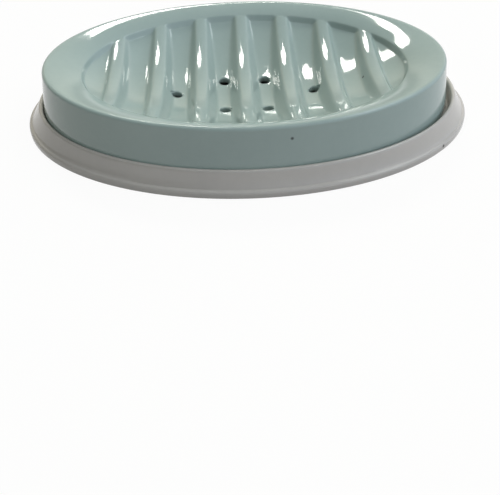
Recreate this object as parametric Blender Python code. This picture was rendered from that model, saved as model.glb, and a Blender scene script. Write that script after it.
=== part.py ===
"""Oval plastic soap dish in two mouldings: a ribbed draining tray that lifts off a low drip base.

Metres, +Z up. The dish stands on z = 0 with its length along X, and the base is centred on the
origin. The tray lies where it was last dropped, a little off centre within its play in the base.
"""

import math

import bmesh
import bpy

# Whole dish
rim_length = 0.125
rim_width = 0.0838
dish_height = 0.0200

# Tray: shell
tray_wall = 0.0018
skirt_flare = 0.0015
rim_edge_radius = 0.0011
skirt_foot_radius = 0.0005
inner_corner_radius = 0.0010

# Tray: rim and bowl
rim_ledge_at_ends = 0.0115
rim_ledge_at_sides = 0.0065
rim_drop_at_ends = 0.0024
rim_drop_at_sides = 0.0019
rim_crown_share = 0.45
end_wall_height = 0.0022
end_wall_run = 0.0014
bowl_clearance = 0.0010

# Tray: ribs
rib_pitch = 0.0139
rib_width = 0.0088
rib_height = 0.0045
end_trough_least = 0.0030

# Tray: drain holes, two in each middle trough and one in each of the next
drain_diameter = 0.0034
drain_row_offset = 0.0090
drain_inner_lean = 0.0003
drain_outer_lean = 0.00115

# Base
skirt_clearance = 0.00105
seat_gap = 0.0003
base_wall = 0.0016
floor_rise = 0.0010
floor_thickness = 0.0016
crest_height = 0.0077
crest_radius = 0.0007
slope_run = 0.0029
lip_height = 0.0024
lip_proud = 0.0010
lip_edge_radius = 0.0004
foot_width = 0.0016
coring_depth = 0.0032
coring_top_width = 0.00035

# Play: where the tray lies in the base, as shares of its clearance there
play_x_share = -0.64
play_y_share = -0.28

# Fineness
row_steps = 12
base_segments = 96
drain_segments = 20
rim_line_shares = (0.3, 0.62, 0.84)
rib_line_shares = (-1, -0.66, -0.34, 0, 0.34, 0.66, 1)
wall_line_shares = (1, 0.62, 0.28, 0)
arc_steps = 3
sharp_angle = math.radians(40)

# Worked out from the sizes above
floor_top = floor_rise + floor_thickness
tray_seat = floor_top + seat_gap
tray_height = dish_height - tray_seat
rim_half = (rim_length / 2, rim_width / 2)
bowl_half = (rim_half[0] - rim_ledge_at_ends, rim_half[1] - rim_ledge_at_sides)
trough_low = bowl_clearance + tray_wall
trough_rim = tray_height - end_wall_height
rib_reach = rib_width / 2
hollow_reach = rib_reach - 2 * tray_wall / 3
ribs_each_side = int((bowl_half[0] - rib_reach - end_trough_least) / rib_pitch)
well_spread = skirt_flare + skirt_clearance


def new_object(name, mesh, colour, roughness):
    """An object in the scene with its own plastic."""
    material = bpy.data.materials.new(name + "_plastic")
    material.use_nodes = True
    shader = material.node_tree.nodes["Principled BSDF"]
    shader.inputs["Base Color"].default_value = (*colour, 1)
    shader.inputs["Roughness"].default_value = roughness
    shader.inputs["Metallic"].default_value = 0
    mesh.materials.append(material)
    mesh.shade_smooth()
    mesh.set_sharp_from_angle(angle=sharp_angle)
    piece = bpy.data.objects.new(name, mesh)
    bpy.context.scene.collection.objects.link(piece)
    return piece


def arc(centre, radius, start_degrees, end_degrees):
    """Points (offset, height) along a round corner of a profile."""
    points = []
    for step in range(arc_steps + 1):
        angle = math.radians(start_degrees + (end_degrees - start_degrees) * step / arc_steps)
        points.append((centre[0] + radius * math.cos(angle), centre[1] + radius * math.sin(angle)))
    return points


def bridge(bm, loop, next_loop):
    """A band of faces between two closed loops with as many points."""
    for index in range(len(loop)):
        after = (index + 1) % len(loop)
        bm.faces.new((loop[index], loop[after], next_loop[after], next_loop[index]))


def bridge_all(bm, loops):
    for loop, next_loop in zip(loops, loops[1:]):
        bridge(bm, loop, next_loop)


def closed_mesh(bm, name):
    """The mesh of a shell whose faces all point outwards."""
    bmesh.ops.recalc_face_normals(bm, faces=bm.faces)
    mesh = bpy.data.meshes.new(name)
    bm.to_mesh(mesh)
    bm.free()
    return mesh


# The tray's bowl, as heights over the oval


def rib_share(x, reach):
    """1 on a rib's crest, falling smoothly to 0 at its foot."""
    nearest = max(-ribs_each_side, min(ribs_each_side, round(x / rib_pitch)))
    away = min(abs(x - nearest * rib_pitch) / reach, 1)
    return math.cos(away * math.pi / 2) ** 2


def round_oval(x, y, at_ends, at_sides):
    """A size at a point's place round the oval, from the sizes at the ends and at the sides."""
    along = (x / bowl_half[0]) ** 2
    across = (y / bowl_half[1]) ** 2
    return (at_ends * along + at_sides * across) / (along + across)


def rim_fall(x, y, inward_share):
    """How far the rim has fallen a share of its width in: crowned at first, then straight."""
    crowned = min(inward_share, rim_crown_share)
    straight = inward_share - crowned
    fall_share = (crowned**2 / rim_crown_share / 2 + straight) / (1 - rim_crown_share / 2)
    return round_oval(x, y, rim_drop_at_ends, rim_drop_at_sides) * fall_share


def trough_height(x, y):
    """The dished floor that the troughs follow, one end wall below the rim all round."""
    out = (x / bowl_half[0]) ** 2 + (y / bowl_half[1]) ** 2
    if out == 0:
        return trough_low
    edge = trough_rim - rim_fall(x, y, 1)
    return trough_low + (edge - trough_low) * min(out, 1)


def bowl_height(x, y, reach, wall_share, below):
    """Floor, ribs and end walls together. The ribs run out level with the rim's inner edge."""
    inside = 1 - min((x / bowl_half[0]) ** 2 + (y / bowl_half[1]) ** 2, 1)
    rib = end_wall_height + (rib_height - end_wall_height) * inside
    added = end_wall_height * wall_share + rib * rib_share(x, reach) * (1 - wall_share)
    return trough_height(x, y) - below + added


# The tray's loops: every loop keeps the ribs' own lines across the bowl, so the ribs stay straight


def rib_lines(reach):
    """Where the lines along the ribs and the middles of the troughs cross the X axis."""
    lines = []
    for rib in range(-ribs_each_side, ribs_each_side + 1):
        lines += [rib * rib_pitch + share * reach for share in rib_line_shares]
        if rib < ribs_each_side:
            lines.append((rib + 1 / 2) * rib_pitch)
    return lines


def oval_points(half, reach):
    """One loop: back edge right to left, left end, front edge left to right, right end."""
    lines = rib_lines(reach)
    end_angle = math.acos(lines[-1] / half[0])
    ends = [end_angle * (2 * step / row_steps - 1) for step in range(1, row_steps)]
    widths = [half[1] * math.sqrt(1 - (x / half[0]) ** 2) for x in lines]
    points = [(x, y) for x, y in zip(reversed(lines), reversed(widths))]
    points += [(-half[0] * math.cos(angle), -half[1] * math.sin(angle)) for angle in ends]
    points += [(x, -y) for x, y in zip(lines, widths)]
    points += [(half[0] * math.cos(angle), half[1] * math.sin(angle)) for angle in ends]
    return points


def tray_loop(bm, half, reach, height):
    """A loop of the tray at one height, or at the height that a function gives for each point."""
    points = oval_points(half, reach)
    return [bm.verts.new((x, y, height(x, y) if callable(height) else height)) for x, y in points]


def spread_half(spread, outside):
    """Half sizes of an oval like the rim's, longer each end by the spread, then evenly outside it."""
    return [size * (1 + spread / rim_half[0]) + outside for size in rim_half]


def shell_loop(bm, spread, outside, height):
    """A loop of the tray's rim or skirt."""
    return tray_loop(bm, spread_half(spread, outside), rib_reach, height)


def fill_bowl(bm, loop, reach, height):
    """Closes a loop with a grid whose columns run along the ribs and the troughs."""
    count = len(rib_lines(reach))
    back = loop[:count][::-1]
    front = loop[count + row_steps - 1 : 2 * count + row_steps - 1]
    left_end = [front[0]] + loop[count : count + row_steps - 1][::-1] + [back[0]]
    right_end = [front[-1]] + loop[2 * count + row_steps - 1 :] + [back[-1]]
    columns = [left_end]
    for low, high in zip(front, back):
        column = [low]
        for step in range(1, row_steps):
            y = low.co.y + (high.co.y - low.co.y) * step / row_steps
            column.append(bm.verts.new((low.co.x, y, height(low.co.x, y))))
        columns.append(column + [high])
    columns.append(right_end)
    for column, next_column in zip(columns, columns[1:]):
        for step in range(row_steps):
            corners = (column[step], next_column[step], next_column[step + 1], column[step + 1])
            bm.faces.new(list(dict.fromkeys(corners)))


def bowl_loops(bm, reach, below):
    """The bowl's floor, and the loops that climb its end walls, from a skin that much lower."""
    loops = []
    for share in wall_line_shares:
        half = [size - share * end_wall_run + below for size in bowl_half]
        wall_share = math.cos(share * math.pi / 2) ** 2

        def height(x, y, wall_share=wall_share):
            return bowl_height(x, y, reach, wall_share, below)

        loops.append(tray_loop(bm, half, reach, height))
    fill_bowl(bm, loops[0], reach, lambda x, y: bowl_height(x, y, reach, 0, below))
    return loops


def rim_loop(bm, share):
    """A loop of the rim, a share of the way out from the bowl to the start of the edge's round."""
    half = []
    for bowl, rim in zip(bowl_half, rim_half):
        half.append(bowl + (rim - rim_edge_radius - bowl) * share)

    def height(x, y):
        return tray_height - rim_fall(x, y, 1 - share)

    return tray_loop(bm, half, rib_reach, height)


def tray_mesh():
    """Bowl, rim, outer skirt, skirt's foot, inner skirt and underside as one closed shell."""
    bm = bmesh.new()
    bowl = bowl_loops(bm, rib_reach, 0)
    rim = [rim_loop(bm, share) for share in rim_line_shares]
    edge_centre = (-rim_edge_radius, tray_height - rim_edge_radius)
    rim += [shell_loop(bm, 0, *point) for point in arc(edge_centre, rim_edge_radius, 90, 0)]

    flare_end = crest_height - tray_seat
    foot_centre = (-skirt_foot_radius, skirt_foot_radius)
    skirt = [shell_loop(bm, skirt_flare, 0, flare_end)]
    for point in arc(foot_centre, skirt_foot_radius, 0, -90):
        skirt.append(shell_loop(bm, skirt_flare, *point))
    skirt.append(shell_loop(bm, skirt_flare, -tray_wall, 0))

    ceiling = tray_height - tray_wall
    corner = tray_wall + inner_corner_radius

    def corner_height(x, y):
        width = round_oval(x, y, rim_ledge_at_ends, rim_ledge_at_sides) - rim_edge_radius
        return ceiling - rim_fall(x, y, (corner - rim_edge_radius) / width)

    inner = [shell_loop(bm, skirt_flare, -tray_wall, flare_end)]
    inner.append(shell_loop(bm, 0, -tray_wall, ceiling - inner_corner_radius))
    inner.append(shell_loop(bm, 0, -corner, corner_height))

    underside = bowl_loops(bm, hollow_reach, tray_wall)
    bridge_all(bm, bowl + rim + skirt + inner + underside[::-1])
    return closed_mesh(bm, "drain_tray")


def drain_places():
    """Two holes in each of the two middle troughs, and one in the trough beyond each."""
    inner = rib_pitch / 2 - drain_inner_lean
    outer = rib_pitch * 3 / 2 + drain_outer_lean
    places = [(x, y) for x in (-inner, inner) for y in (-drain_row_offset, drain_row_offset)]
    return places + [(-outer, 0), (outer, 0)]


def drain_cutter(place):
    """Round pins that stand through the bowl where the drain holes are."""
    bm = bmesh.new()
    for x, y in drain_places():
        hole = bmesh.ops.create_cone(
            bm,
            cap_ends=True,
            segments=drain_segments,
            radius1=drain_diameter / 2,
            radius2=drain_diameter / 2,
            depth=tray_height,
        )
        bmesh.ops.translate(bm, verts=hole["verts"], vec=(x, y, tray_height / 2))
    cutter = bpy.data.objects.new("drain_cutter", closed_mesh(bm, "drain_cutter"))
    bpy.context.scene.collection.objects.link(cutter)
    cutter.location = place
    cutter.hide_render = True
    cutter.display_type = "WIRE"
    return cutter


def make_tray():
    """The tray, with its origin over its seat on the base's floor."""
    play = skirt_clearance
    place = (play * play_x_share, play * play_y_share, tray_seat)
    tray = new_object("drain_tray", tray_mesh(), colour=(0.40, 0.51, 0.47), roughness=0.12)
    tray.location = place
    holes = tray.modifiers.new("drain holes", "BOOLEAN")
    holes.operation = "DIFFERENCE"
    holes.solver = "EXACT"
    holes.object = drain_cutter(place)
    return tray


# The base: one profile carried round the oval, closed by a floor


def base_profile():
    """Spread, distance outside it and height, from the floor over the crest to the underside."""
    foot_spread = well_spread + 2 * crest_radius + slope_run + lip_proud
    crest_centre = (crest_radius, crest_height - crest_radius)
    lip_centre = (-lip_proud, lip_height - lip_proud)
    foot_centre = (-lip_edge_radius, lip_edge_radius)

    profile = [(well_spread, 0, floor_top)]
    profile += [(well_spread, *point) for point in arc(crest_centre, crest_radius, 180, 20)]
    profile += [(foot_spread, *point) for point in arc(lip_centre, lip_proud, 90, 0)]
    profile += [(foot_spread, *point) for point in arc(foot_centre, lip_edge_radius, 0, -90)]
    profile.append((foot_spread, -foot_width, 0))
    profile.append((well_spread, base_wall + coring_top_width, coring_depth))
    profile.append((well_spread, base_wall, coring_depth))
    profile.append((well_spread, base_wall, floor_rise))
    return profile


def base_loop(bm, spread, outside, height):
    angles = [2 * math.pi * step / base_segments for step in range(base_segments)]
    half_length, half_width = spread_half(spread, outside)
    points = [(half_length * math.cos(a), half_width * math.sin(a), height) for a in angles]
    return [bm.verts.new(point) for point in points]


def fill_floor(bm, loop):
    """Closes a flat loop with a ring at half its size and a fan round the middle."""
    ring = [bm.verts.new((v.co.x / 2, v.co.y / 2, v.co.z)) for v in loop]
    bridge(bm, loop, ring)
    middle = bm.verts.new((0, 0, loop[0].co.z))
    for index in range(len(ring)):
        bm.faces.new((ring[index], ring[(index + 1) % len(ring)], middle))


def make_base():
    """The base, a shallow well whose wall comes over a round crest and down to a lip."""
    bm = bmesh.new()
    loops = [base_loop(bm, *point) for point in base_profile()]
    bridge_all(bm, loops)
    fill_floor(bm, loops[0])
    fill_floor(bm, loops[-1])
    mesh = closed_mesh(bm, "drip_base")
    return new_object("drip_base", mesh, colour=(0.60, 0.59, 0.55), roughness=0.3)


def clear_scene():
    for piece in list(bpy.data.objects):
        bpy.data.objects.remove(piece, do_unlink=True)


clear_scene()
make_base()
make_tray()
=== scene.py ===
# %% [markdown]
# # A two-piece plastic soap dish
#
# The real dish is two mouldings: a glossy aqua tray with ribs and drain holes, and an off-white
# base that catches the water. The tray lies loose in the base and lifts straight off it.
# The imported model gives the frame: where each moulding is, and which body it moves with. Each
# moulding is then made again with the small radii and the even walls that its gloss shows up.

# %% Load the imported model
import math

import bmesh
import bpy
from mathutils import Matrix, Vector


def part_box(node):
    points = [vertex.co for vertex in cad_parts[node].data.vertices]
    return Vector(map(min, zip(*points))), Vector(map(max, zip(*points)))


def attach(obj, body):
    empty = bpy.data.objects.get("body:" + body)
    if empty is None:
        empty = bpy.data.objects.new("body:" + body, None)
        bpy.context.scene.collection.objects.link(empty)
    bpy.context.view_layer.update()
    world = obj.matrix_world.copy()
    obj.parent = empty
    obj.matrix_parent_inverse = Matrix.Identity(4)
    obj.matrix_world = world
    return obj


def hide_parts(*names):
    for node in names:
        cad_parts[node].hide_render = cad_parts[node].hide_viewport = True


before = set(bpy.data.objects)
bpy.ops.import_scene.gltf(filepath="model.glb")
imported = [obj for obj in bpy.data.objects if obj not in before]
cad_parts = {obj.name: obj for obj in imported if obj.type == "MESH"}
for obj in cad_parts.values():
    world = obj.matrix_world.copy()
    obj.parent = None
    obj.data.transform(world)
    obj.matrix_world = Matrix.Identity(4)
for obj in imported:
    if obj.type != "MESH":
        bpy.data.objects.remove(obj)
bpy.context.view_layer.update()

mm = 0.001

# %% [markdown]
# ## Camera
#
# The dish is seen from a little above its long side, with the camera close to it, so the near
# edge looks larger than the far one. The camera looks past the dish, and down, which puts the
# dish high in the frame. Its place is given as an angle round the dish and a distance.

# %% Camera
image_size = (500, 495)
focal_pixels = 758.1
azimuth, elevation, distance = math.radians(-1.92), math.radians(28.49), 246.15 * mm
pan, tilt, roll = math.radians(-0.09), math.radians(12.52), math.radians(-1.19)
aim = Vector((-0.67, -0.29, 12)) * mm


def camera_turn():
    """Rows to the right, downwards and forwards of the camera, as a rotation matrix."""
    back = Vector((math.sin(azimuth) * math.cos(elevation),
                   -math.cos(azimuth) * math.cos(elevation), math.sin(elevation)))
    right = (-back).cross(Vector((0, 0, 1))).normalized()
    down = (-back).cross(right)
    level = Matrix((right, down, -back))
    turned = Matrix.Rotation(roll, 3, "Z") @ Matrix.Rotation(tilt, 3, "X")
    return turned @ Matrix.Rotation(pan, 3, "Y") @ level, aim + back * distance


turn, eye = camera_turn()
lens = bpy.data.cameras.new("camera")
lens.sensor_width = 36
lens.lens = focal_pixels / image_size[0] * lens.sensor_width
lens.clip_start = 1 * mm
lens.clip_end = 20
camera = bpy.data.objects.new("camera", lens)
facing = Matrix((turn[0], -turn[1], -turn[2])).transposed()
camera.matrix_world = Matrix.Translation(eye) @ facing.to_4x4()
bpy.context.scene.collection.objects.link(camera)
bpy.context.scene.camera = camera
print("camera at", [round(c / mm, 1) for c in eye], "mm, lens", round(lens.lens, 1), "mm")

# %% [markdown]
# ## Building nodes by formula
#
# Shader trees and geometry trees are both made of small nodes. Two helpers keep them readable:
# one adds a node and fills its sockets, and one adds a Math node, so that a line of code reads
# like the formula that it builds.

# %% Node helpers
def add(tree, kind, inputs=None, **settings):
    """A node with its settings, and its inputs given as numbers or as sockets to link."""
    node = tree.nodes.new(kind)
    for name, value in settings.items():
        setattr(node, name, value)
    for name, value in (inputs or {}).items():
        if isinstance(value, bpy.types.NodeSocket):
            tree.links.new(value, node.inputs[name])
        else:
            node.inputs[name].default_value = value
    return node


def calc(tree, operation, *values, clamp=False):
    """The output of a Math node."""
    inputs = dict(enumerate(values))
    return add(tree, "ShaderNodeMath", inputs, operation=operation, use_clamp=clamp).outputs[0]


def new_group(name, kind, inputs, outputs):
    """A node group with named sockets, given as (name, type, starting value)."""
    tree = bpy.data.node_groups.new(name, kind)
    for socket_name, socket_type, value in inputs:
        socket = tree.interface.new_socket(socket_name, in_out="INPUT", socket_type=socket_type)
        if value is not None:
            socket.default_value = value
    for socket_name, socket_type in outputs:
        tree.interface.new_socket(socket_name, in_out="OUTPUT", socket_type=socket_type)
    return tree, tree.nodes.new("NodeGroupInput"), tree.nodes.new("NodeGroupOutput")


print("helpers ready")

# %% [markdown]
# ## Sizes of the tray
#
# Every outline of the tray is an oval, so a loop of points is set by its two half sizes. The
# sizes are those of the mould: one wall thickness everywhere, a skirt that flares a little down
# to the base's crest, and ribs at a pitch that narrows a little towards the ends.

# %% Tray sizes
low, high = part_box("drain_tray")
tray_middle = (low + high) / 2
tray_height = high.z - low.z
rim_half = (62.5 * mm, 41.9 * mm)
bowl_half = (51 * mm, 35.4 * mm)
wall = 1.8 * mm
skirt_flare = 1.5 * mm
flare_end = 4.8 * mm
edge_radius = 1.1 * mm
foot_radius = 0.5 * mm
corner_radius = 1.0 * mm
rim_drop_at_ends, rim_drop_at_sides = 2.9 * mm, 2.2 * mm
rim_crown_share = 0.45
rim_slope_outside, rim_slope_growth = 0.6, 1.5
ribs_each_side = 3
rib_pitch = 13.9 * mm
rib_crowding = 13.0
rib_height = 4.7 * mm
crest_half = 1.75 * mm
crest_round, trough_round = 6 * mm, 42 * mm
crest_blend, foot_blend = 1.0 * mm, 1.6 * mm
flank_slope = 1.5
hollow_share = 2 / 3
floor_low = 2.8 * mm
floor_curl, curl_power = 0.5 * mm, 4
end_wall_height, end_wall_run = 1.9 * mm, 1.1 * mm
drain_radius, drain_lip = 1.75 * mm, 0.3 * mm

rim_drops = (rim_drop_at_ends, rim_drop_at_sides)
edge_floors = [tray_height - drop - end_wall_height for drop in rim_drops]
ledge = [rim - edge_radius - bowl for rim, bowl in zip(rim_half, bowl_half)]


def rim_fall(inward):
    """How far the rim has fallen, a share of its width in. Its slope grows to 1 across the crown,
    and then at its own rate."""
    crowned, beyond = min(inward, rim_crown_share), max(inward - rim_crown_share, 0)
    outer = rim_slope_outside * crowned + (1 - rim_slope_outside) * crowned ** 2 / rim_crown_share / 2
    return outer + beyond + rim_slope_growth * beyond ** 2 / 2


print("tray is", round(tray_height / mm, 2), "mm high, its middle at",
      [round(c / mm, 2) for c in tray_middle])

# %% [markdown]
# ## The tray's blank
#
# A pressed or moulded sheet is easiest to model in two steps. First comes a blank: a closed shell
# with its rim, skirt and foot finished, and its bowl still flat. Its mesh lines run along the
# ribs, close together where a rib curves and wide apart in the troughs, so that no rib
# cuts across the mesh and every highlight runs straight. Then a rule gives each point of the
# bowl its height.

# %% Lines of the blank
crest_lines, crest_step = 11, 0.25
flank_lines, flank_step = 7, 0.3
foot_step = 0.4
trough_lines = 4
end_lines = 22


def crowded(x):
    """Where a line at this even place lies when x + crowding * x ** 3 is even, by one Newton step."""
    near = x - rib_crowding * x ** 3
    return near - (near + rib_crowding * near ** 3 - x) / (1 + 3 * rib_crowding * near ** 2)


def lines_across():
    """Where the mesh lines along the ribs cross the long axis, from the left."""
    side_mm = [crest_step * n for n in range(crest_lines + 1)]
    side_mm += [side_mm[-1] + flank_step * n for n in range(1, flank_lines + 1)]
    side = [line_mm * mm for line_mm in side_mm + [side_mm[-1] + foot_step]]
    lines = []
    for rib in range(-ribs_each_side, ribs_each_side + 1):
        middle = rib * rib_pitch
        lines += [middle - away for away in reversed(side[1:])] + [middle + away for away in side]
        if rib < ribs_each_side:
            gap = rib_pitch - 2 * side[-1]
            shares = [n / (trough_lines + 1) for n in range(1, trough_lines + 1)]
            lines += [middle + side[-1] + gap * share for share in shares]
    return [crowded(x) for x in lines]


inner_lines = lines_across()


def oval_lines(half_length):
    """The same lines, and those of the rounded ends, which spread out with the oval."""
    spare = half_length - inner_lines[-1]
    turns = [math.pi / 2 * n / end_lines for n in range(1, end_lines)]
    ends = [inner_lines[-1] + spare * math.sin(turn) for turn in turns]
    return [-x for x in reversed(ends)] + inner_lines + ends


def oval_loop(half):
    """Points of an oval: right tip, back edge, left tip, front edge."""
    lines = oval_lines(half[0])
    widths = [half[1] * math.sqrt(1 - (x / half[0]) ** 2) for x in lines]
    back = list(zip(lines, widths))[::-1]
    front = [(x, -y) for x, y in zip(lines, widths)]
    return [(half[0], 0)] + back + [(-half[0], 0)] + front


print(len(inner_lines), "lines along the ribs,", len(oval_loop(rim_half)), "points round a loop")

# %% Helpers for shells made of loops
def arc(centre, radius, start, end, steps):
    """Points (distance outwards, height) of a round corner, from one angle to another in degrees."""
    angles = [math.radians(start + (end - start) * n / steps) for n in range(steps + 1)]
    return [(centre[0] + radius * math.cos(a), centre[1] + radius * math.sin(a)) for a in angles]


def spread_half(spread, outside):
    """Half sizes of an oval like the rim's, longer by the spread, then evenly outside it."""
    return [size * (1 + spread / rim_half[0]) + outside for size in rim_half]


def add_loop(bm, half, height, **marks):
    """A loop of the shell, at one height or at a rule's, with the values that the press reads."""
    rule = height if callable(height) else lambda x, y: height
    verts = [bm.verts.new((x, y, rule(x, y))) for x, y in oval_loop(half)]
    for name, value in marks.items():
        layer = bm.verts.layers.float[name]
        for vert in verts:
            vert[layer] = value
    return verts


def bridge(bm, loops):
    """Faces between each loop and the next."""
    for loop, next_loop in zip(loops, loops[1:]):
        for n in range(len(loop)):
            after = (n + 1) % len(loop)
            bm.faces.new((loop[n], loop[after], next_loop[after], next_loop[n]))


def fill(bm, loop, rows, **marks):
    """Closes a loop with columns of faces that run along the ribs."""
    count = len(loop) // 2 - 1
    back = loop[1:count + 1][::-1]
    front = loop[count + 2:]
    layers = [(bm.verts.layers.float[name], value) for name, value in marks.items()]
    columns = []
    for near, far in zip(front, back):
        column = [near]
        for row in range(1, rows):
            share = row / rows
            vert = bm.verts.new(near.co.lerp(far.co, share))
            for layer, value in layers:
                vert[layer] = value
            column.append(vert)
        columns.append(column + [far])
    for column, next_column in zip(columns, columns[1:]):
        for row in range(rows):
            bm.faces.new((column[row], next_column[row], next_column[row + 1], column[row + 1]))
    for tip, column in ((loop[count + 1], columns[0]), (loop[0], columns[-1])):
        for row in range(rows):
            bm.faces.new((tip, column[row], column[row + 1]))


def mesh_from(bm, name):
    """The mesh of a closed shell, with every face pointing outwards."""
    bmesh.ops.recalc_face_normals(bm, faces=bm.faces)
    mesh = bpy.data.meshes.new(name)
    bm.to_mesh(mesh)
    bm.free()
    return mesh


print("shell helpers ready")

# %% Tray blank
bowl_rows, underside_rows = 96, 30
end_wall_steps, underside_wall_steps = 11, 6
wall_loops_reach, floor_inside = 1.25 * end_wall_run, 2 * end_wall_run
rim_shares = (0.05, 0.12, 0.2, 0.3, 0.4, 0.5, 0.6, 0.7, 0.8, 0.9)
skirt_shares = (0.2, 0.4, 0.6, 0.8, 1)
edge_steps, foot_steps, corner_steps = 9, 5, 4


def bowl_skin(bm, under, steps, rows):
    """The bowl's loops from its floor out to its edge, and the floor itself, on one skin."""
    loops = []
    for n in range(steps + 1):
        inside = wall_loops_reach * (1 - n / steps)
        half = [size - inside + under * wall for size in bowl_half]
        loops.append(add_loop(bm, half, 0, inside=inside, under=under, pressed=1))
    fill(bm, loops[0], rows, inside=floor_inside, under=under, pressed=1)
    return loops


def rim_loop(bm, share):
    """A loop of the rim, a share of the way out. It falls further where the rim is wider."""
    half = [bowl_half[axis] + ledge[axis] * share for axis in (0, 1)]

    def height(x, y):
        along, across = (x / bowl_half[0]) ** 2, (y / bowl_half[1]) ** 2
        drop = (rim_drops[0] * along + rim_drops[1] * across) / (along + across)
        return tray_height - drop * rim_fall(1 - share) / rim_fall(1)

    return add_loop(bm, half, height)


def tray_blank():
    """The closed shell: bowl, rim, skirt, foot, the skirt's inside, and the bowl's underside."""
    bm = bmesh.new()
    for name in ("inside", "under", "pressed"):
        bm.verts.layers.float.new(name)
    top = bowl_skin(bm, 0, end_wall_steps, bowl_rows)

    rim = [rim_loop(bm, share) for share in rim_shares]
    edge_centre = (-edge_radius, tray_height - edge_radius)
    for out, height in arc(edge_centre, edge_radius, 90, 0, edge_steps):
        rim.append(add_loop(bm, spread_half(0, out), height))

    skirt = []
    for share in skirt_shares:
        height = edge_centre[1] + (flare_end - edge_centre[1]) * share
        skirt.append(add_loop(bm, spread_half(skirt_flare * share, 0), height))
    for out, height in arc((-foot_radius, foot_radius), foot_radius, 0, -90, foot_steps):
        skirt.append(add_loop(bm, spread_half(skirt_flare, out), height))
    skirt.append(add_loop(bm, spread_half(skirt_flare, -wall + foot_radius / 2), 0))

    ceiling = tray_height - wall
    inner = [add_loop(bm, spread_half(skirt_flare, -wall), foot_radius / 2)]
    inner.append(add_loop(bm, spread_half(skirt_flare, -wall), flare_end))
    corner_centre = (-wall - corner_radius, ceiling - corner_radius)
    for out, height in arc(corner_centre, corner_radius, 0, 90, corner_steps):
        inner.append(add_loop(bm, spread_half(0, out), height))

    underside = bowl_skin(bm, 1, underside_wall_steps, underside_rows)
    bridge(bm, top + rim + skirt + inner + underside[::-1])
    return mesh_from(bm, "tray_blank")


blank = bpy.data.objects.new("tray_blank", tray_blank())
bpy.context.scene.collection.objects.link(blank)
print("blank has", len(blank.data.vertices), "points and", len(blank.data.polygons), "faces")

# %% [markdown]
# ## The press
#
# The bowl follows one rule, so it is made with Geometry Nodes. Seen from above, each point knows
# how far it is from the nearest rib and from the bowl's edge. A rib has a nearly flat crest and
# straight flanks, joined by a smooth minimum, and a smooth maximum with the hollow of the trough
# gives the little fillet at its foot. The floor is dished, so that water runs to the middle, and
# the ribs stand highest there. At the bowl's edge the troughs curl up a little, and an end wall
# rises as high as the ribs, so their crests run out level with the rim.
# The same rule, one wall lower and with narrower ribs, makes the hollow underside.

# %% Press rule
press_sizes = {
    "Wall": wall, "Bowl Half Length": bowl_half[0], "Bowl Half Width": bowl_half[1],
    "Ribs Each Side": ribs_each_side, "Rib Pitch": rib_pitch, "Rib Crowding": rib_crowding,
    "Rib Height": rib_height, "Rib Flank Slope": flank_slope, "Crest Half Width": crest_half,
    "Crest Radius": crest_round, "Crest Blend": crest_blend,
    "Trough Radius": trough_round, "Foot Blend": foot_blend,
    "Floor Low": floor_low, "Floor At Ends": edge_floors[0], "Floor At Sides": edge_floors[1],
    "Floor Curl": floor_curl, "End Wall Height": end_wall_height, "End Wall Run": end_wall_run,
    "Drain Radius": drain_radius, "Drain Lip": drain_lip,
}
press_inputs = [("Blank", "NodeSocketGeometry", None), ("Material", "NodeSocketMaterial", None),
                ("Drain Marks", "NodeSocketObject", None)]
press_inputs += [(name, "NodeSocketFloat", value) for name, value in press_sizes.items()]
press, given, made = new_group("tray_press", "GeometryNodeTree", press_inputs,
                               [("Tray", "NodeSocketGeometry")])
size = given.outputs


def mark(name):
    """A value that the blank carries on its points."""
    node = add(press, "GeometryNodeInputNamedAttribute", {"Name": name}, data_type="FLOAT")
    return node.outputs["Attribute"]


def squared_share(along, half):
    """The square of a distance, as a share of the bowl's half size."""
    return calc(press, "POWER", calc(press, "DIVIDE", along, half), 2)


def way_out(x, y):
    """0 in the middle of the bowl and 1 at its edge."""
    along = squared_share(x, size["Bowl Half Length"])
    return calc(press, "ADD", along, squared_share(y, size["Bowl Half Width"]))


def dished_floor(x, y):
    """Height of the floor. It rises with the square of the way out, and further at the sides than
    at the ends."""
    rise = calc(press, "SUBTRACT", size["Floor At Ends"], size["Floor Low"])
    at_ends = calc(press, "MULTIPLY", rise, squared_share(x, size["Bowl Half Length"]))
    rise = calc(press, "SUBTRACT", size["Floor At Sides"], size["Floor Low"])
    risen = calc(press, "MULTIPLY_ADD", rise, squared_share(y, size["Bowl Half Width"]), at_ends)
    level_off = calc(press, "DIVIDE", risen, calc(press, "MAXIMUM", way_out(x, y), 1))
    return calc(press, "ADD", level_off, size["Floor Low"])


def bowed(reach, radius):
    """How far a shallow round of this radius departs from its middle, at a reach away from it."""
    return calc(press, "DIVIDE", calc(press, "POWER", reach, 2), calc(press, "MULTIPLY", radius, 2))


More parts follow.
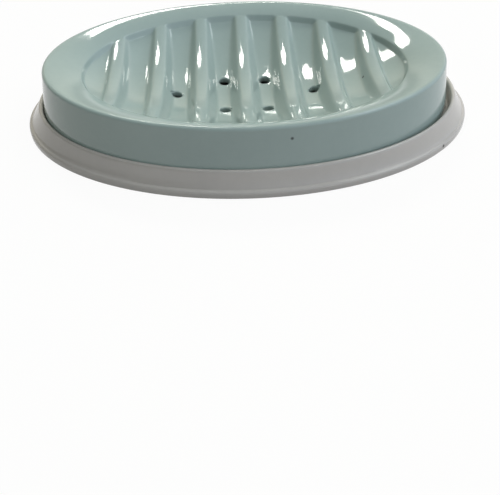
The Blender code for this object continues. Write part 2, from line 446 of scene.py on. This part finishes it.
def rib_rise(x, y):
    """Height above the floor: a flat round crest, straight flanks, and a shallow round trough."""
    last_rib = size["Ribs Each Side"]
    first_rib = calc(press, "MULTIPLY", last_rib, -1)
    out = way_out(x, y)
    inside = calc(press, "SUBTRACT", 1, out, clamp=True)
    x = calc(press, "MULTIPLY_ADD", calc(press, "POWER", x, 3), size["Rib Crowding"], x)
    nearest = calc(press, "ROUND", calc(press, "DIVIDE", x, size["Rib Pitch"]))
    nearest = calc(press, "MAXIMUM", calc(press, "MINIMUM", nearest, last_rib), first_rib)
    away = calc(press, "SUBTRACT", x, calc(press, "MULTIPLY", nearest, size["Rib Pitch"]))
    away = calc(press, "ABSOLUTE", away)
    taller = calc(press, "SUBTRACT", size["Rib Height"], size["End Wall Height"])
    tall = calc(press, "MULTIPLY_ADD", taller, inside, size["End Wall Height"])
    crest = calc(press, "SUBTRACT", tall, bowed(away, size["Crest Radius"]))
    hollow = calc(press, "MULTIPLY", mark("under"), calc(press, "MULTIPLY", size["Wall"], hollow_share))
    crest_end = calc(press, "SUBTRACT", size["Crest Half Width"], hollow)
    before_end = calc(press, "SUBTRACT", crest_end, away)
    flank = calc(press, "MULTIPLY_ADD", before_end, size["Rib Flank Slope"], tall)
    rib = calc(press, "SMOOTH_MIN", crest, flank, size["Crest Blend"])
    to_middle = calc(press, "SUBTRACT", calc(press, "DIVIDE", size["Rib Pitch"], 2), away)
    trough = bowed(calc(press, "MAXIMUM", to_middle, 0), size["Trough Radius"])
    near_edge = calc(press, "POWER", calc(press, "MINIMUM", out, 1), curl_power)
    trough = calc(press, "MULTIPLY_ADD", near_edge, size["Floor Curl"], trough)
    return calc(press, "SMOOTH_MAX", rib, trough, size["Foot Blend"])


def end_wall_share():
    """1 at the bowl's edge, falling smoothly to 0 at the foot of the end wall."""
    run = calc(press, "DIVIDE", mark("inside"), size["End Wall Run"], clamp=True)
    return calc(press, "POWER", calc(press, "COSINE", calc(press, "MULTIPLY", run, math.pi / 2)), 2)


place = add(press, "ShaderNodeSeparateXYZ", {0: add(press, "GeometryNodeInputPosition").outputs[0]})
x, y = place.outputs["X"], place.outputs["Y"]
end_wall = end_wall_share()
rise = calc(press, "MULTIPLY", rib_rise(x, y), calc(press, "SUBTRACT", 1, end_wall))
rise = calc(press, "MULTIPLY_ADD", size["End Wall Height"], end_wall, rise)
skin = calc(press, "MULTIPLY", mark("under"), calc(press, "MULTIPLY", size["Wall"], -1))
height = calc(press, "ADD", calc(press, "ADD", dished_floor(x, y), rise), skin)
pressed_place = add(press, "ShaderNodeCombineXYZ", {"X": x, "Y": y, "Z": height}).outputs[0]
pressed = add(press, "GeometryNodeSetPosition",
              {"Geometry": size["Blank"], "Selection": mark("pressed"), "Position": pressed_place})
print("press rule has", len(press.nodes), "nodes")

# %% [markdown]
# ## The drain holes
#
# Six round holes drain the troughs. In the mould they are round pins, and their edges are softly
# rounded. So each is cut with a pin whose top opens like a trumpet: where it meets the
# floor it is nearly flat, and the cut leaves a rounded lip. The pins stand square to the dished
# floor, on marks at the holes' middles.

# %% Drain pins
drain_middles_mm = ((-6.65, 9), (6.65, 9), (-6.65, -9), (6.65, -9), (-22.0, 0), (22.0, 0))
lip_angle = math.radians(78)
pin_below, pin_above = 6 * mm, 1 * mm
pin_sides, pin_rings = 40, 24

marks_mesh = bpy.data.meshes.new("drain_marks")
marks_mesh.from_pydata([(x_mm * mm, y_mm * mm, 0) for x_mm, y_mm in drain_middles_mm], [], [])
drain_marks = bpy.data.objects.new("drain_marks", marks_mesh)
bpy.context.scene.collection.objects.link(drain_marks)


def trumpet_pin():
    """A cylinder whose rings are moved: straight below, a quarter round, and straight again above."""
    pin = add(press, "GeometryNodeMeshCylinder",
              {"Vertices": pin_sides, "Side Segments": pin_rings, "Radius": 1, "Depth": 1})
    spot = add(press, "ShaderNodeSeparateXYZ", {0: add(press, "GeometryNodeInputPosition").outputs[0]})
    third = calc(press, "MULTIPLY", calc(press, "ADD", spot.outputs["Z"], 0.5), 3)
    below = calc(press, "SUBTRACT", 1, calc(press, "MULTIPLY", third, 1, clamp=True))
    turned = calc(press, "MULTIPLY", calc(press, "SUBTRACT", third, 1, clamp=True), lip_angle)
    above = calc(press, "SUBTRACT", third, 2, clamp=True)
    lip = size["Drain Lip"]
    flare = calc(press, "MULTIPLY", lip, calc(press, "SUBTRACT", 1, calc(press, "COSINE", turned)))
    reach = calc(press, "ADD", size["Drain Radius"], flare)
    depth = calc(press, "MULTIPLY", lip, calc(press, "SUBTRACT", calc(press, "SINE", turned), 1))
    depth = calc(press, "MULTIPLY_ADD", below, -pin_below, depth)
    depth = calc(press, "MULTIPLY_ADD", above, pin_above, depth)
    moved = add(press, "ShaderNodeCombineXYZ", {
        "X": calc(press, "MULTIPLY", spot.outputs["X"], reach),
        "Y": calc(press, "MULTIPLY", spot.outputs["Y"], reach), "Z": depth})
    return add(press, "GeometryNodeSetPosition",
               {"Geometry": pin.outputs["Mesh"], "Position": moved.outputs[0]}).outputs[0]


def slope(along, half, edge_floor):
    """How steeply the dished floor falls towards the middle, along one axis."""
    rise = calc(press, "SUBTRACT", edge_floor, size["Floor Low"])
    fall = calc(press, "MULTIPLY", calc(press, "MULTIPLY", rise, -2), along)
    return calc(press, "DIVIDE", fall, calc(press, "POWER", half, 2))


square = add(press, "ShaderNodeCombineXYZ", {
    "X": slope(x, size["Bowl Half Length"], size["Floor At Ends"]),
    "Y": slope(y, size["Bowl Half Width"], size["Floor At Sides"]), "Z": 1.0})
upright = add(press, "FunctionNodeAlignRotationToVector", {"Vector": square.outputs[0]}, axis="Z")
marks = add(press, "GeometryNodeObjectInfo", {"Object": size["Drain Marks"]})
on_floor = add(press, "ShaderNodeCombineXYZ", {"X": x, "Y": y, "Z": dished_floor(x, y)})
points = add(press, "GeometryNodeSetPosition",
             {"Geometry": marks.outputs["Geometry"], "Position": on_floor.outputs[0]})
pins = add(press, "GeometryNodeInstanceOnPoints",
           {"Points": points.outputs[0], "Instance": trumpet_pin(), "Rotation": upright.outputs[0]})
loose_pins = add(press, "GeometryNodeRealizeInstances", {"Geometry": pins.outputs[0]})
cut = add(press, "GeometryNodeMeshBoolean",
          {"Mesh 1": pressed.outputs[0], "Mesh 2": loose_pins.outputs[0]},
          operation="DIFFERENCE", solver="EXACT")
smooth = add(press, "GeometryNodeSetShadeSmooth", {"Geometry": cut.outputs["Mesh"]})
whole = add(press, "GeometryNodeRealizeInstances", {"Geometry": smooth.outputs[0]})
finished = add(press, "GeometryNodeSetMaterial",
               {"Geometry": whole.outputs[0], "Material": size["Material"]})
press.links.new(finished.outputs[0], made.inputs["Tray"])
print("the tree now has", len(press.nodes), "nodes")

# %% [markdown]
# ## Finishes
#
# Both mouldings are glossy plastic. Up close such a surface isn't perfect: its colour is a
# little uneven, it waves slightly where the plastic shrank over ribs and walls, and use
# leaves fine scuffs and a few dark specks. These effects are shared by the two plastics, so
# each is a node group with its own sizes, placed in both materials.

# %% Shared effects
fine_share, tone_range = 0.35, (0.32, 0.68)
speck_sharpness = 2.5
scuff_tilt, scuff_turns = (0.2, 0.3), ((0.5, 0.04), (-0.9, 0.06))
scuff_range, patch_scale, patch_range = (0.66, 0.74), 60.0, (0.42, 0.62)


def noise(tree, place, scale, detail=2, roughness=0.5):
    """A cloudy value at a place, about 0.5 on average."""
    node = add(tree, "ShaderNodeTexNoise", {"Vector": place, "Scale": scale, "Detail": detail,
                                            "Roughness": roughness})
    return node.outputs["Fac"]


def ramp(tree, value, low_end, high_end):
    """A value rescaled so that one end becomes 0 and the other 1."""
    node = add(tree, "ShaderNodeMapRange", {"Value": value, "From Min": low_end, "From Max": high_end})
    return node.outputs["Result"]


def object_place(tree):
    """A point's place in its own object, in metres."""
    return add(tree, "ShaderNodeTexCoord").outputs["Object"]


def uneven_colour_group():
    """Slow drifts of tone, with a finer cloud on top."""
    tree, given, made = new_group("uneven_colour", "ShaderNodeTree", [
        ("Cloud Scale", "NodeSocketFloat", 30.0), ("Fine Scale", "NodeSocketFloat", 300.0)],
        [("Tone", "NodeSocketFloat")])
    place = object_place(tree)
    slow = noise(tree, place, given.outputs["Cloud Scale"])
    fine = noise(tree, place, given.outputs["Fine Scale"], 4, 0.6)
    mixed = calc(tree, "MULTIPLY_ADD", fine, fine_share, calc(tree, "MULTIPLY", slow, 1 - fine_share))
    tree.links.new(ramp(tree, mixed, *tone_range), made.inputs["Tone"])
    return tree


def specks_group():
    """Scattered dark specks: the small cells of a Voronoi pattern whose own random value is rare."""
    tree, given, made = new_group("specks", "ShaderNodeTree", [
        ("Scale", "NodeSocketFloat", 160.0), ("Size", "NodeSocketFloat", 0.1),
        ("Rarity", "NodeSocketFloat", 0.97)], [("Mask", "NodeSocketFloat")])
    cells = add(tree, "ShaderNodeTexVoronoi",
                {"Vector": object_place(tree), "Scale": given.outputs["Scale"]})
    colour = add(tree, "ShaderNodeSeparateColor", {0: cells.outputs["Color"]})
    rare = calc(tree, "GREATER_THAN", colour.outputs[0], given.outputs["Rarity"])
    size = calc(tree, "MULTIPLY", given.outputs["Size"], colour.outputs[1])
    edge = calc(tree, "DIVIDE", cells.outputs["Distance"], size)
    spot = calc(tree, "SUBTRACT", 1, edge, clamp=True)
    soft = calc(tree, "MULTIPLY", spot, speck_sharpness, clamp=True)
    tree.links.new(calc(tree, "MULTIPLY", soft, rare), made.inputs["Mask"])
    return tree


def scuffs_group():
    """Fine scratches in two directions, broken up so that they come in patches."""
    tree, given, made = new_group("scuffs", "ShaderNodeTree", [
        ("Scale", "NodeSocketFloat", 500.0), ("Amount", "NodeSocketFloat", 0.5)],
        [("Mask", "NodeSocketFloat")])
    place = object_place(tree)
    lines = []
    for scuff_turn, stretch in scuff_turns:
        turned = add(tree, "ShaderNodeMapping", {"Vector": place, "Rotation": (*scuff_tilt, scuff_turn),
                                                 "Scale": (stretch, 1, 1)})
        streak = noise(tree, turned.outputs[0], given.outputs["Scale"], 1)
        lines.append(ramp(tree, streak, *scuff_range))
    patches = ramp(tree, noise(tree, place, patch_scale), *patch_range)
    both = calc(tree, "MAXIMUM", *lines)
    worn = calc(tree, "MULTIPLY", both, patches)
    tree.links.new(calc(tree, "MULTIPLY", worn, given.outputs["Amount"]), made.inputs["Mask"])
    return tree


def mould_waves_group():
    """The surface of shrunk plastic: slow waves, and a very fine skin."""
    tree, given, made = new_group("mould_waves", "ShaderNodeTree", [
        ("Wave Scale", "NodeSocketFloat", 70.0), ("Wave Depth", "NodeSocketFloat", 0.03 * mm),
        ("Skin Scale", "NodeSocketFloat", 1800.0), ("Skin Depth", "NodeSocketFloat", 0.0006 * mm)],
        [("Height", "NodeSocketFloat")])
    place = object_place(tree)
    waves = calc(tree, "MULTIPLY", noise(tree, place, given.outputs["Wave Scale"], 1),
                 given.outputs["Wave Depth"])
    skin = calc(tree, "MULTIPLY", noise(tree, place, given.outputs["Skin Scale"], 3),
                given.outputs["Skin Depth"])
    tree.links.new(calc(tree, "ADD", waves, skin), made.inputs["Height"])
    return tree


effects = {group.name: group for group in (uneven_colour_group(), specks_group(), scuffs_group(),
                                           mould_waves_group())}
print("effects:", ", ".join(effects))

# %% [markdown]
# ## The two plastics
#
# A plastic is a coloured body under a clear skin, which is what the Principled shader's base
# colour and specular reflection stand for. The tray is polished: its roughness is low, so that
# window light makes sharp highlights on the ribs. The base is a shade less glossy.

# %% Plastics
tone_rough, scuff_rough, speck_rough = 0.25, 0.12, 0.4
plastic_ior = 1.5


def use(tree, group, **values):
    """One of the shared effects, placed in a material with its own values."""
    node = tree.nodes.new("ShaderNodeGroup")
    node.node_tree = effects[group]
    for name, value in values.items():
        node.inputs[name.replace("_", " ")].default_value = value
    return node.outputs[0]


def blend_colour(tree, share, first, second):
    """A colour that goes from the first to the second as the share goes from 0 to 1."""
    node = tree.nodes.new("ShaderNodeMix")
    node.data_type = "RGBA"
    sockets = [s for s in node.inputs if s.type == "RGBA"]
    for socket, value in zip(sockets, (first, second)):
        if isinstance(value, bpy.types.NodeSocket):
            tree.links.new(value, socket)
        else:
            socket.default_value = (*value, 1)
    tree.links.new(share, node.inputs["Factor"])
    return [s for s in node.outputs if s.type == "RGBA"][0]


def plastic(name, light_tone, dark_tone, speck_tone, gloss, waves):
    """A moulded plastic. Gloss is its lowest roughness, and waves is how deep the slow waves are."""
    material = bpy.data.materials.new(name)
    material.use_nodes = True
    tree = material.node_tree
    shader = tree.nodes["Principled BSDF"]
    tone = use(tree, "uneven_colour", Cloud_Scale=45.0, Fine_Scale=420.0)
    specks = use(tree, "specks", Scale=190.0, Size=0.13, Rarity=0.96)
    scuffs = use(tree, "scuffs", Scale=900.0, Amount=1.0)
    colour = blend_colour(tree, tone, dark_tone, light_tone)
    colour = blend_colour(tree, specks, colour, speck_tone)
    tree.links.new(colour, shader.inputs["Base Color"])
    rough = calc(tree, "MULTIPLY_ADD", tone, gloss * tone_rough, gloss)
    rough = calc(tree, "MULTIPLY_ADD", scuffs, scuff_rough, rough)
    rough = calc(tree, "MULTIPLY_ADD", specks, speck_rough, rough)
    tree.links.new(rough, shader.inputs["Roughness"])
    bump = add(tree, "ShaderNodeBump", {"Height": use(tree, "mould_waves", Wave_Depth=waves),
                                        "Strength": 1.0, "Distance": 1.0})
    tree.links.new(bump.outputs[0], shader.inputs["Normal"])
    shader.inputs["Metallic"].default_value = 0
    shader.inputs["IOR"].default_value = plastic_ior
    return material


tray_plastic = plastic("tray_plastic", (0.345, 0.425, 0.39), (0.315, 0.395, 0.362), (0.05, 0.06, 0.06),
                       gloss=0.055, waves=0.02 * mm)
base_plastic = plastic("base_plastic", (0.525, 0.49, 0.443), (0.485, 0.452, 0.41), (0.09, 0.08, 0.07),
                       gloss=0.12, waves=0.01 * mm)
print("plastics:", tray_plastic.name, base_plastic.name)

# %% [markdown]
# ## Pressing the tray
#
# The tree goes on the blank as a modifier, and its material and drain marks are set by each
# socket's identifier. The result is baked to a plain mesh and moved to where the packed
# tray is, and the blank and the marks are removed.

# %% Press the tray
def set_input(modifier, name, value):
    """Sets one of the modifier's inputs by the name that its tree gives it."""
    sockets = {item.name: item.identifier for item in modifier.node_group.interface.items_tree
               if item.in_out == "INPUT"}
    modifier[sockets[name]] = value


def baked(source, name, place):
    """A plain mesh object of an object's evaluated geometry, at a place in its mesh."""
    bpy.context.view_layer.update()
    evaluated = source.evaluated_get(bpy.context.evaluated_depsgraph_get())
    mesh = bpy.data.meshes.new_from_object(evaluated)
    mesh.name = name
    mesh.transform(Matrix.Translation(place))
    piece = bpy.data.objects.new(name, mesh)
    bpy.context.scene.collection.objects.link(piece)
    bpy.data.objects.remove(source)
    return piece


modifier = blank.modifiers.new("press", "NODES")
modifier.node_group = press
set_input(modifier, "Material", tray_plastic)
set_input(modifier, "Drain Marks", drain_marks)
tray = baked(blank, "drain_tray_moulding", (tray_middle.x, tray_middle.y, low.z))
bpy.data.objects.remove(drain_marks)
for leftover in ("inside", "under", "pressed"):
    if leftover in tray.data.attributes:
        tray.data.attributes.remove(tray.data.attributes[leftover])
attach(tray, "tray")
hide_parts("drain_tray")
tray.data.calc_loop_triangles()
print("tray has", len(tray.data.loop_triangles), "triangles")

# %% [markdown]
# ## The base
#
# The base is one profile carried round an oval: the well's floor, a corner up to a round crest,
# the sloped outer wall, a fine groove, and the lip that it stands on. It is hollow underneath,
# as mouldings are, with a flat foot ring. The profile is a list of points, each on an oval like
# the rim's, and loops of those points are bridged into a shell.

# %% Base sizes
skirt_clearance = 1.05 * mm
snug_at_sides = 0.5 * mm
base_wall = 1.6 * mm
floor_rise, floor_thickness = 1.0 * mm, 1.6 * mm
well_corner, well_border = 0.8 * mm, 2 * mm
crest_height, crest_radius, crest_end_deg = 7.7 * mm, 0.7 * mm, 28
slope_run, slope_hollow, slope_steps = 2.9 * mm, 0.12 * mm, 6
groove_depth, groove_height = 0.08 * mm, 0.05 * mm
lip_proud, lip_height, lip_start_deg = 1.0 * mm, 2.4 * mm, 82
foot_corner, foot_width = 0.4 * mm, 1.6 * mm
coring_depth, coring_top_width = 3.2 * mm, 0.35 * mm
base_segments = 420
sharp_angle = math.radians(50)

well_spread = skirt_flare + skirt_clearance
foot_spread = well_spread + 2 * crest_radius + slope_run + lip_proud


def round_part(spread, centre, radius, start, end, steps):
    """Loops of a round corner, on ovals of one spread."""
    return [(spread, out, up) for out, up in arc(centre, radius, start, end, steps)]


def slope_between(start, end):
    """Loops of the outer wall, which is very slightly hollow between the crest and the groove."""
    points = []
    for n in range(1, slope_steps + 1):
        share = n / slope_steps
        point = [a + (b - a) * share for a, b in zip(start, end)]
        point[1] -= slope_hollow * math.sin(math.pi * share)
        points.append(tuple(point))
    return points


def base_profile():
    """Loops from the well to the floor's underside: the oval's spread, distance outside, height."""
    floor_top = floor_rise + floor_thickness
    well_centre = (-well_corner, floor_top + well_corner)
    crest_centre = (crest_radius, crest_height - crest_radius)
    lip_centre = (-lip_proud, lip_height - lip_proud)
    groove = (-lip_proud - groove_depth, lip_height + groove_height)
    foot_centre = (-foot_corner, foot_corner)

    profile = [(well_spread, -well_corner - well_border, floor_top)]
    profile += round_part(well_spread, well_centre, well_corner, -90, 0, 5)
    profile += round_part(well_spread, crest_centre, crest_radius, 180, crest_end_deg, 10)
    profile += slope_between(profile[-1], (foot_spread, *groove))
    profile += round_part(foot_spread, lip_centre, lip_proud, lip_start_deg, 0, 7)
    profile += round_part(foot_spread, foot_centre, foot_corner, 0, -90, 4)
    profile.append((foot_spread, -foot_width, 0))
    profile.append((well_spread, base_wall + coring_top_width, coring_depth))
    profile.append((well_spread, base_wall, coring_depth))
    profile.append((well_spread, base_wall, floor_rise))
    return profile


def base_loop(bm, spread, outside, height):
    """A loop of the base. The well's loops are a little snugger along the sides than at the ends."""
    length, width = spread_half(spread, outside)
    width -= snug_at_sides * (foot_spread - spread) / (foot_spread - well_spread)
    angles = [2 * math.pi * n / base_segments for n in range(base_segments)]
    return [bm.verts.new((length * math.cos(a), width * math.sin(a), height)) for a in angles]


def fill_disc(bm, loop, rings=6):
    """Closes a flat loop with smaller copies of itself and a fan round its middle."""
    height = loop[0].co.z
    for ring in range(rings - 1, 0, -1):
        share = ring / (ring + 1)
        inner = [bm.verts.new((v.co.x * share, v.co.y * share, height)) for v in loop]
        bridge(bm, [loop, inner])
        loop = inner
    middle = bm.verts.new((0, 0, height))
    for n in range(len(loop)):
        bm.faces.new((loop[n], loop[(n + 1) % len(loop)], middle))


def base_mesh():
    """The profile's loops, bridged, with the well's floor and its underside closed."""
    bm = bmesh.new()
    loops = [base_loop(bm, *point) for point in base_profile()]
    bridge(bm, loops)
    fill_disc(bm, loops[0])
    fill_disc(bm, loops[-1])
    return mesh_from(bm, "drip_base_moulding")


base = bpy.data.objects.new("drip_base_moulding", base_mesh())
bpy.context.scene.collection.objects.link(base)
base.data.materials.append(base_plastic)
base.data.shade_smooth()
base.data.set_sharp_from_angle(angle=sharp_angle)
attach(base, "base")
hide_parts("drip_base")
base.data.calc_loop_triangles()
print("base has", len(base.data.loop_triangles), "triangles")

# %% [markdown]
# ## Floor and light
#
# The dish stands on a plain floor that the camera sees as white. Its light comes mainly from
# windows behind it and to the right, with a soft ceiling above, so the front and the left are in
# half shade. The windows are bright panes: their clear outlines are what the glossy ribs reflect.
# The walls of the room are in the background: a pale skirting low down, then, at the back, a dark
# panelled part below the light wall.

# %% Floor
floor_reach = 3.0
floor_dark, floor_light = (0.27, 0.262, 0.235), (0.29, 0.282, 0.255)
floor_cloud_scale, floor_tone_range = 6.0, (0.3, 0.7)
floor_rough = 0.9
white_strength, white_share = 1.11, 0.85

floor_mesh = bpy.data.meshes.new("floor")
floor_corners = [(across * floor_reach, along * floor_reach, 0)
                 for across, along in ((-1, -1), (1, -1), (1, 1), (-1, 1))]
floor_mesh.from_pydata(floor_corners, [], [(0, 1, 2, 3)])
floor = bpy.data.objects.new("floor", floor_mesh)
bpy.context.scene.collection.objects.link(floor)
floor_paint = bpy.data.materials.new("floor_paint")
floor_paint.use_nodes = True
floor_tree = floor_paint.node_tree
floor_shader = floor_tree.nodes["Principled BSDF"]
floor_clouds = noise(floor_tree, object_place(floor_tree), floor_cloud_scale)
floor_tone = ramp(floor_tree, floor_clouds, *floor_tone_range)
floor_tree.links.new(blend_colour(floor_tree, floor_tone, floor_dark, floor_light),
                     floor_shader.inputs["Base Color"])
floor_shader.inputs["Roughness"].default_value = floor_rough
path = add(floor_tree, "ShaderNodeLightPath")
seen = calc(floor_tree, "ADD", path.outputs["Is Camera Ray"], path.outputs["Is Glossy Ray"])
seen = calc(floor_tree, "ADD", seen, path.outputs["Is Transmission Ray"], clamp=True)
white = add(floor_tree, "ShaderNodeEmission", {"Color": (1, 1, 1, 1), "Strength": white_strength})
seen_white = calc(floor_tree, "MULTIPLY", seen, white_share)
brightened = add(floor_tree, "ShaderNodeMixShader",
                 {0: seen_white, 1: floor_shader.outputs[0], 2: white.outputs[0]})
floor_tree.links.new(brightened.outputs[0], floor_tree.nodes["Material Output"].inputs["Surface"])
floor_mesh.materials.append(floor_paint)

# %% Lights
dish_middle = Vector((0, 0, 10 * mm))
window_away = 1.8
back_pane = ((-20.5, 46), (-15, 47.5), (-10, 49), (-9, 53.5), (-6, 53.6), (-1.3, 51.3), (3, 49),
             (5, 47.4), (4.2, 46), (1, 44.7), (-1, 43), (-1.3, 42.1), (-6.9, 40.1), (-17.3, 39.6),
             (-21.3, 42.6))
side_pane = ((54, 62), (120, 62), (120, 38), (54, 38))
lamp_place = (180, 76)
lamp_width, lamp_depth, lamp_radiance = 1.2, 0.06, 12


def direction(azimuth_deg, elevation_deg):
    """A direction from the dish, with azimuth 0 at the back and counted to the right."""
    a, e = math.radians(azimuth_deg), math.radians(elevation_deg)
    return Vector((math.sin(a) * math.cos(e), math.cos(a) * math.cos(e), math.sin(e)))


def window(name, corners, brightness, colour):
    """A bright pane whose corners lie in these directions from the dish."""
    pane_mesh = bpy.data.meshes.new(name)
    points = [dish_middle + direction(*corner) * window_away for corner in corners]
    pane_mesh.from_pydata(points, [], [tuple(range(len(points)))])
    glow = bpy.data.materials.new(name + "_glow")
    glow.use_nodes = True
    glow.node_tree.nodes.clear()
    light = add(glow.node_tree, "ShaderNodeEmission", {"Color": (*colour, 1), "Strength": brightness})
    add(glow.node_tree, "ShaderNodeOutputMaterial", {"Surface": light.outputs[0]})
    pane_mesh.materials.append(glow)
    pane = bpy.data.objects.new(name, pane_mesh)
    bpy.context.scene.collection.objects.link(pane)


window("window_back", back_pane, brightness=25, colour=(1, 0.985, 0.92))
window("window_side", side_pane, brightness=3.9, colour=(0.9, 0.97, 1.02))

lamp_light = bpy.data.lights.new("ceiling_lamp", "AREA")
lamp_light.shape = "RECTANGLE"
lamp_light.size = lamp_width
lamp_light.size_y = lamp_depth
lamp_light.energy = lamp_radiance * math.pi * lamp_width * lamp_depth
lamp = bpy.data.objects.new("ceiling_lamp", lamp_light)
lamp.location = dish_middle + direction(*lamp_place) * window_away
lamp.rotation_euler = direction(*lamp_place).to_track_quat("Z", "Y").to_euler()
bpy.context.scene.collection.objects.link(lamp)

# %% Room
front_left, front_right = (0.05, 0.05, 0.02), (0.98, 1.09, 1.32)
back_left, back_right = (0.95, 0.93, 0.72), (1.34, 1.29, 1.18)
panelling, skirting, ceiling = (0.4, 0.38, 0.34), (0.95, 0.95, 0.95), (0.325, 0.355, 0.365)
left_to_right, front_to_back = (-0.5, 0.55), (0.3, 0.8)
skirting_edge, panelling_edge, ceiling_edge = (0.05, 0.13), (0.2, 0.3), (0.25, 0.95)

room = bpy.data.worlds.new("room")
room.use_nodes = True
room_tree = room.node_tree
sky_place = add(room_tree, "ShaderNodeTexCoord").outputs["Generated"]
towards = add(room_tree, "ShaderNodeSeparateXYZ", {0: sky_place}).outputs
rightwards = ramp(room_tree, towards["X"], *left_to_right)
backwards = ramp(room_tree, towards["Y"], *front_to_back)
above_skirting, above_panelling, up_to_ceiling = [
    ramp(room_tree, towards["Z"], *edge) for edge in (skirting_edge, panelling_edge, ceiling_edge)]
front_walls = blend_colour(room_tree, rightwards, front_left, front_right)
back_walls = blend_colour(room_tree, rightwards, back_left, back_right)
back_walls = blend_colour(room_tree, above_panelling, panelling, back_walls)
walls = blend_colour(room_tree, backwards, front_walls, back_walls)
walls = blend_colour(room_tree, above_skirting, skirting, walls)
whole_room = blend_colour(room_tree, up_to_ceiling, walls, ceiling)
background = room_tree.nodes["Background"]
room_tree.links.new(whole_room, background.inputs["Color"])
background.inputs["Strength"].default_value = 1.0
bpy.context.scene.world = room
bpy.context.scene.view_settings.view_transform = "Standard"
print("room has", len(room_tree.nodes), "nodes")
